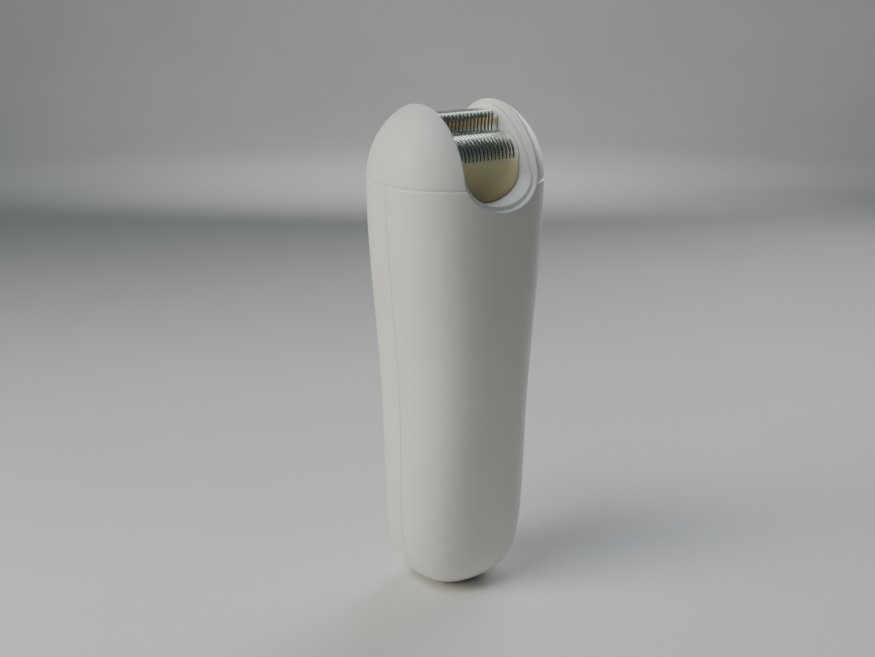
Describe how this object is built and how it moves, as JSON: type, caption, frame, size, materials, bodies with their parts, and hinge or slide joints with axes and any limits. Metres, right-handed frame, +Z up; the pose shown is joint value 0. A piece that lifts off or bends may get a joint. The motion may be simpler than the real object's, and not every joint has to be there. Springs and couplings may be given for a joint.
{
  "type": "epilator",
  "caption": "Hand-held epilator: tapered two-shell handle, lift-off head with a slotted metal guard over two counter-turning tweezer drums, gear drive, motor and cell.",
  "frame": {"origin": "centre of the small flat at the bottom end of the handle", "axes": "+Z up the handle to the head, +X along the tweezer drums, -Y the front"},
  "size_m": [0.0522, 0.0459, 0.1502],
  "materials": {
    "white_shell": "matt moulded ABS",
    "white_saddle": "satin moulded ABS",
    "guard_steel": "polished stainless steel",
    "disc_steel": "ground stainless steel",
    "shaft_steel": "ground steel",
    "gear_nylon": "natural nylon",
    "bronze_bush": "sintered bronze",
    "grey_plastic": "moulded ABS",
    "black_plastic": "moulded nylon",
    "motor_steel": "zinc plated steel",
    "magnet": "ferrite",
    "copper": "lacquered copper and laminations",
    "cell_wrap": "shrink sleeve",
    "nickel": "nickel strip",
    "board": "solder mask",
    "screw_steel": "zinc plated",
    "lens": "clear polycarbonate"
  },
  "bodies": {
    "handle": {"front_shell": "white_shell", "rear_shell": "white_shell", "shell_screws": "screw_steel", "top_deck": "grey_plastic", "drive_chassis": "black_plastic", "idler_axle": "shaft_steel", "lay_shaft_bushes": "bronze_bush", "motor_screws": "screw_steel", "motor_can": "motor_steel", "motor_magnets": "magnet", "motor_end_cap": "black_plastic", "battery_cell": "cell_wrap", "battery_contacts": "nickel", "battery_cradle": "black_plastic", "circuit_board": "board", "board_components": "black_plastic", "slide_switch": "black_plastic", "release_spring": "shaft_steel", "status_light": "lens", "charging_socket": "black_plastic", "charging_pin": "nickel"},
    "head": {"head_saddle": "white_saddle", "right_ear_cover": "white_shell", "left_ear_cover": "white_shell", "right_ear_floor": "grey_plastic", "left_ear_floor": "grey_plastic", "ear_floor_screws": "screw_steel", "slotted_guard": "guard_steel", "right_bearing_plate": "black_plastic", "left_bearing_plate": "black_plastic", "drum_bushes": "bronze_bush"},
    "front_drum": {"front_tweezer_discs": "disc_steel", "front_drum_hub": "black_plastic", "front_drum_shaft": "shaft_steel", "front_drum_gear": "gear_nylon"},
    "rear_drum": {"rear_tweezer_discs": "disc_steel", "rear_drum_hub": "black_plastic", "rear_drum_shaft": "shaft_steel", "rear_drum_gear": "gear_nylon"},
    "idler": {"idler_gear": "gear_nylon"},
    "lay_shaft_set": {"lay_shaft": "shaft_steel", "lay_shaft_gear": "gear_nylon", "crown_gear": "gear_nylon"},
    "rotor": {"motor_shaft": "shaft_steel", "motor_rotor": "copper", "motor_pinion": "bronze_bush"},
    "power_switch": {"power_slider": "grey_plastic"},
    "head_release": {"release_button": "grey_plastic"}
  },
  "joints": [
    {"name": "head_lift_off", "type": "slide", "parent": "handle", "child": "head", "axis": [0, 0, 1], "range_m": [0, 0.03]},
    {"name": "rear_drum_spin", "type": "hinge", "parent": "head", "child": "rear_drum", "pos_m": [0, 0.007, 0.1347], "axis": [1, 0, 0], "continuous": true},
    {"name": "front_drum_spin", "type": "hinge", "parent": "head", "child": "front_drum", "pos_m": [0, -0.007, 0.1347], "axis": [1, 0, 0], "continuous": true},
    {"name": "idler_spin", "type": "hinge", "parent": "handle", "child": "idler", "pos_m": [0.0147, 0.007, 0.1221], "axis": [1, 0, 0], "continuous": true},
    {"name": "lay_shaft_spin", "type": "hinge", "parent": "handle", "child": "lay_shaft_set", "pos_m": [0.0147, 0.007, 0.1095], "axis": [1, 0, 0], "continuous": true},
    {"name": "motor_spin", "type": "hinge", "parent": "handle", "child": "rotor", "pos_m": [0, 0.007, 0.08], "axis": [0, 0, 1], "continuous": true},
    {"name": "power_slide", "type": "slide", "parent": "handle", "child": "power_switch", "axis": [0, 0, 1], "range_m": [0, 0.004]},
    {"name": "release_press", "type": "slide", "parent": "handle", "child": "head_release", "axis": [0, -1, 0], "range_m": [0, 0.0015], "stiffness_N_per_m": 800, "springref_m": -0.001, "deforming": ["release_spring"]}
  ],
  "couplings": [
    {"joint": "front_drum_spin", "follows": "rear_drum_spin", "ratio": -1},
    {"joint": "idler_spin", "follows": "rear_drum_spin", "ratio": -1.25},
    {"joint": "lay_shaft_spin", "follows": "rear_drum_spin", "ratio": 1},
    {"joint": "motor_spin", "follows": "rear_drum_spin", "ratio": 3.2}
  ]
}
